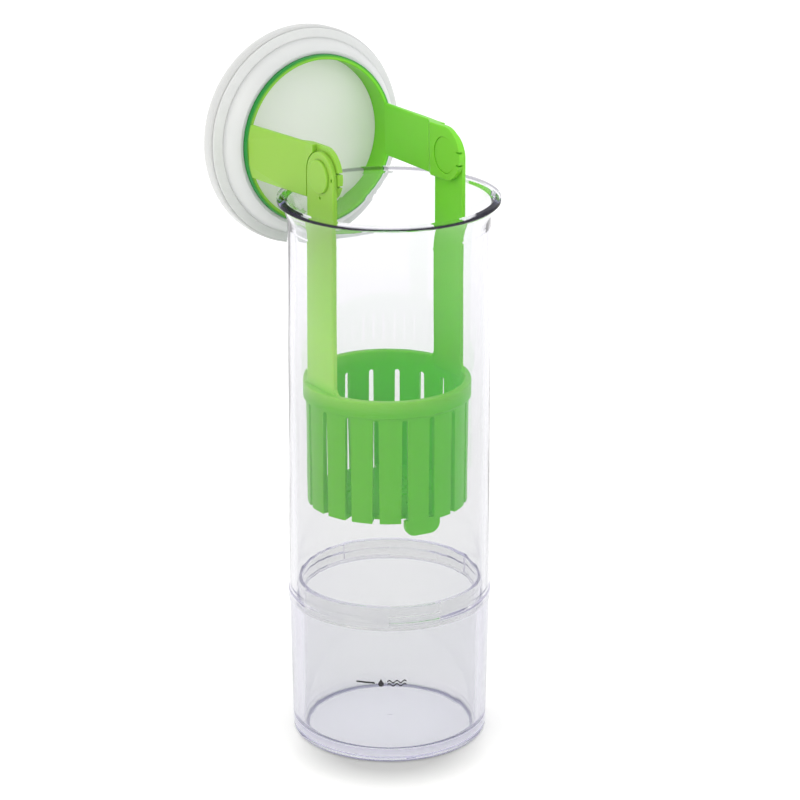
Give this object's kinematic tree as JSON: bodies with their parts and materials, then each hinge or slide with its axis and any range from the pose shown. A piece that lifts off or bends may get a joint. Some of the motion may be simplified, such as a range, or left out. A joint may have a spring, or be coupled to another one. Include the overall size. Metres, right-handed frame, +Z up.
{
  "type": "herb keeper",
  "caption": "Clear upright herb keeper: twist-off water cup, flared sleeve, and a slotted lift-out basket hung from a hinged round lid.",
  "frame": {"origin": "middle of the cup's flat underside, on the axis of the tube", "axes": "+Z up along the tube; +X along the lid's hinge; the folded lid lies over +Y"},
  "size_m": [0.1014, 0.1297, 0.3194],
  "materials": {
    "clear_plastic": "clear polished",
    "green_plastic": "satin moulded",
    "milky_plastic": "milky satin",
    "seal_rubber": "soft milky silicone",
    "mark_ink": "printed black"
  },
  "bodies": {
    "base": {"cup": "clear_plastic"},
    "tube": {"sleeve": "clear_plastic"},
    "lift_basket": {"basket": "green_plastic"},
    "lid": {"lid_yoke": "green_plastic", "pivot_pin_right": "green_plastic", "pivot_pin_left": "green_plastic", "lid_cap": "milky_plastic", "lid_seal": "seal_rubber"}
  },
  "joints": [
    {"name": "cup_twist", "type": "hinge", "parent": "base", "child": "tube", "pos_m": [0, 0, 0.0662], "axis": [0, 0, 1], "range_deg": [0, 86]},
    {"name": "basket_lift", "type": "slide", "parent": "tube", "child": "lift_basket", "axis": [0, 0, 1], "range_m": [0, 0.155]},
    {"name": "lid_fold", "type": "hinge", "parent": "lift_basket", "child": "lid", "pos_m": [0, 0.0018, 0.27019], "axis": [1, 0, 0], "range_deg": [0, 92]}
  ]
}
